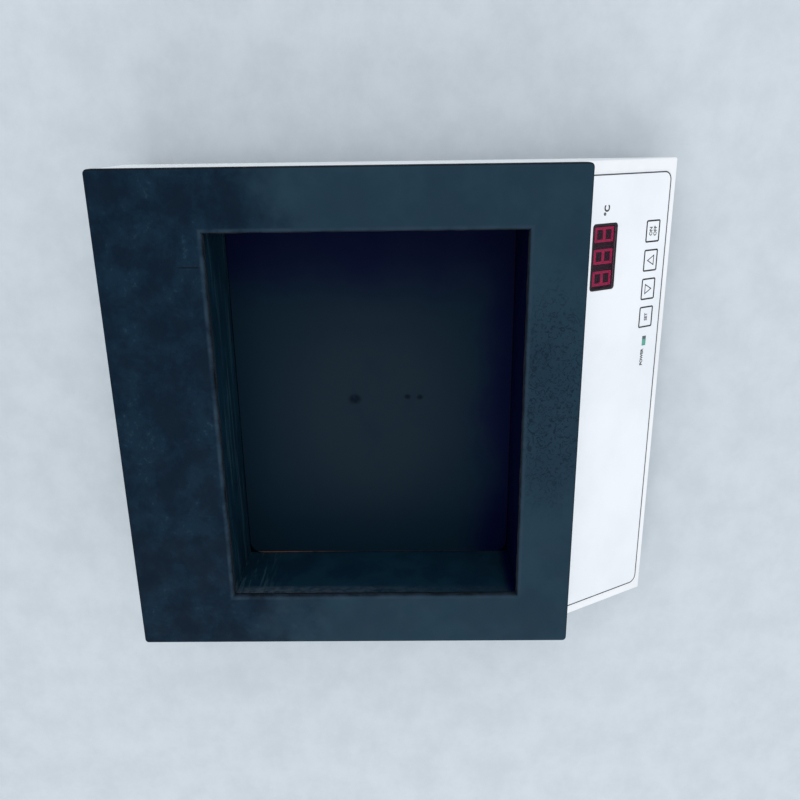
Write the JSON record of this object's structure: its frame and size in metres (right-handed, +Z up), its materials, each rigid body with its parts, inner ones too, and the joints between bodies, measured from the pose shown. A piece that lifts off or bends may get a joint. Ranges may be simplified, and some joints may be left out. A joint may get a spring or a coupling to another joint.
{
  "type": "histology water bath",
  "caption": "Low heated water bath for floating tissue sections: square tank in a thick black frame on a white housing with a sloping control panel, on rubber feet.",
  "frame": {"origin": "on the table, under the middle of the whole outline", "axes": "+Z up, -Y towards the user (the control panel's side), +X to the user's right"},
  "size_m": [0.3002, 0.3458, 0.094],
  "materials": {
    "zinc_steel": "zinc plated",
    "tray_coat": "light grey powder coat",
    "tank_coat": "black-blue baked coating, satin",
    "nylon_white": "moulded nylon",
    "board_laminate": "glass-fibre laminate with green resist",
    "moulded_black": "moulded, fine grain",
    "digit_glow": "cast red resin",
    "digit_plastic": "moulded, matt",
    "window_red": "dark red filter acrylic",
    "foot_rubber": "moulded, matt",
    "floor_coat": "black-blue baked coating, worn",
    "frame_coat": "black-blue textured baked coating, matt",
    "fuse_ceramic": "glass tube with metal caps",
    "sink_aluminium": "extruded, plain",
    "heater_rubber": "fabric-reinforced silicone",
    "white_coat": "white powder coat, fine texture",
    "pin_metal": "nickel plated brass",
    "insulation_felt": "needled felt",
    "dome_steel": "bright",
    "foil_print": "printed polyester foil, satin",
    "lamp_resin": "cast green resin",
    "moulded_blue": "moulded, gloss",
    "seal_rubber": "matt",
    "moulded_green": "moulded, satin",
    "coil_tape": "polyester tape over winding",
    "core_steel": "varnished laminations"
  },
  "bodies": {
    "base": {"base_spacers": "zinc_steel", "base_tray": "tray_coat", "bath_tank": "tank_coat", "board_pillars": "nylon_white", "control_board": "board_laminate", "controller_chip": "moulded_black", "digit_bars": "digit_glow", "digit_left": "digit_plastic", "digit_middle": "digit_plastic", "digit_right": "digit_plastic", "display_window": "window_red", "earth_nut": "zinc_steel", "earth_stud": "zinc_steel", "feet": "foot_rubber", "flange_nuts": "zinc_steel", "floor_plate": "floor_coat", "foot_screws": "zinc_steel", "frame_ring": "frame_coat", "frame_screws": "zinc_steel", "heat_sink": "sink_aluminium", "heater_mat": "heater_rubber", "heater_triac": "moulded_black", "housing": "white_coat", "inlet_pins": "pin_metal", "insulation_pad": "insulation_felt", "key_domes": "dome_steel", "mains_inlet": "moulded_black", "overheat_cutout": "moulded_black", "panel_foil": "foil_print", "power_board": "board_laminate", "power_lamp": "lamp_resin", "power_pillars": "nylon_white", "relay": "moulded_blue", "sensor_block": "sink_aluminium", "smoothing_capacitor": "moulded_black", "switch_frame": "moulded_black", "switch_tabs": "pin_metal", "tank_gasket": "seal_rubber", "temperature_sensor": "zinc_steel", "terminal_block": "moulded_green", "top_frame": "frame_coat", "transformer_coil": "coil_tape", "transformer_core": "core_steel"},
    "rocker": {"power_rocker": "moulded_black"},
    "fuse_carrier": {"fuse_drawer": "moulded_black", "fuses": "fuse_ceramic"}
  },
  "joints": [
    {"name": "rocker_tip", "type": "hinge", "parent": "base", "child": "rocker", "pos_m": [-0.0644, 0.16595, 0.04725], "axis": [1, 0, 0], "range_deg": [0, 20]},
    {"name": "fuse_drawer_slide", "type": "slide", "parent": "base", "child": "fuse_carrier", "axis": [0, 1, 0], "range_m": [0, 0.018]}
  ]
}
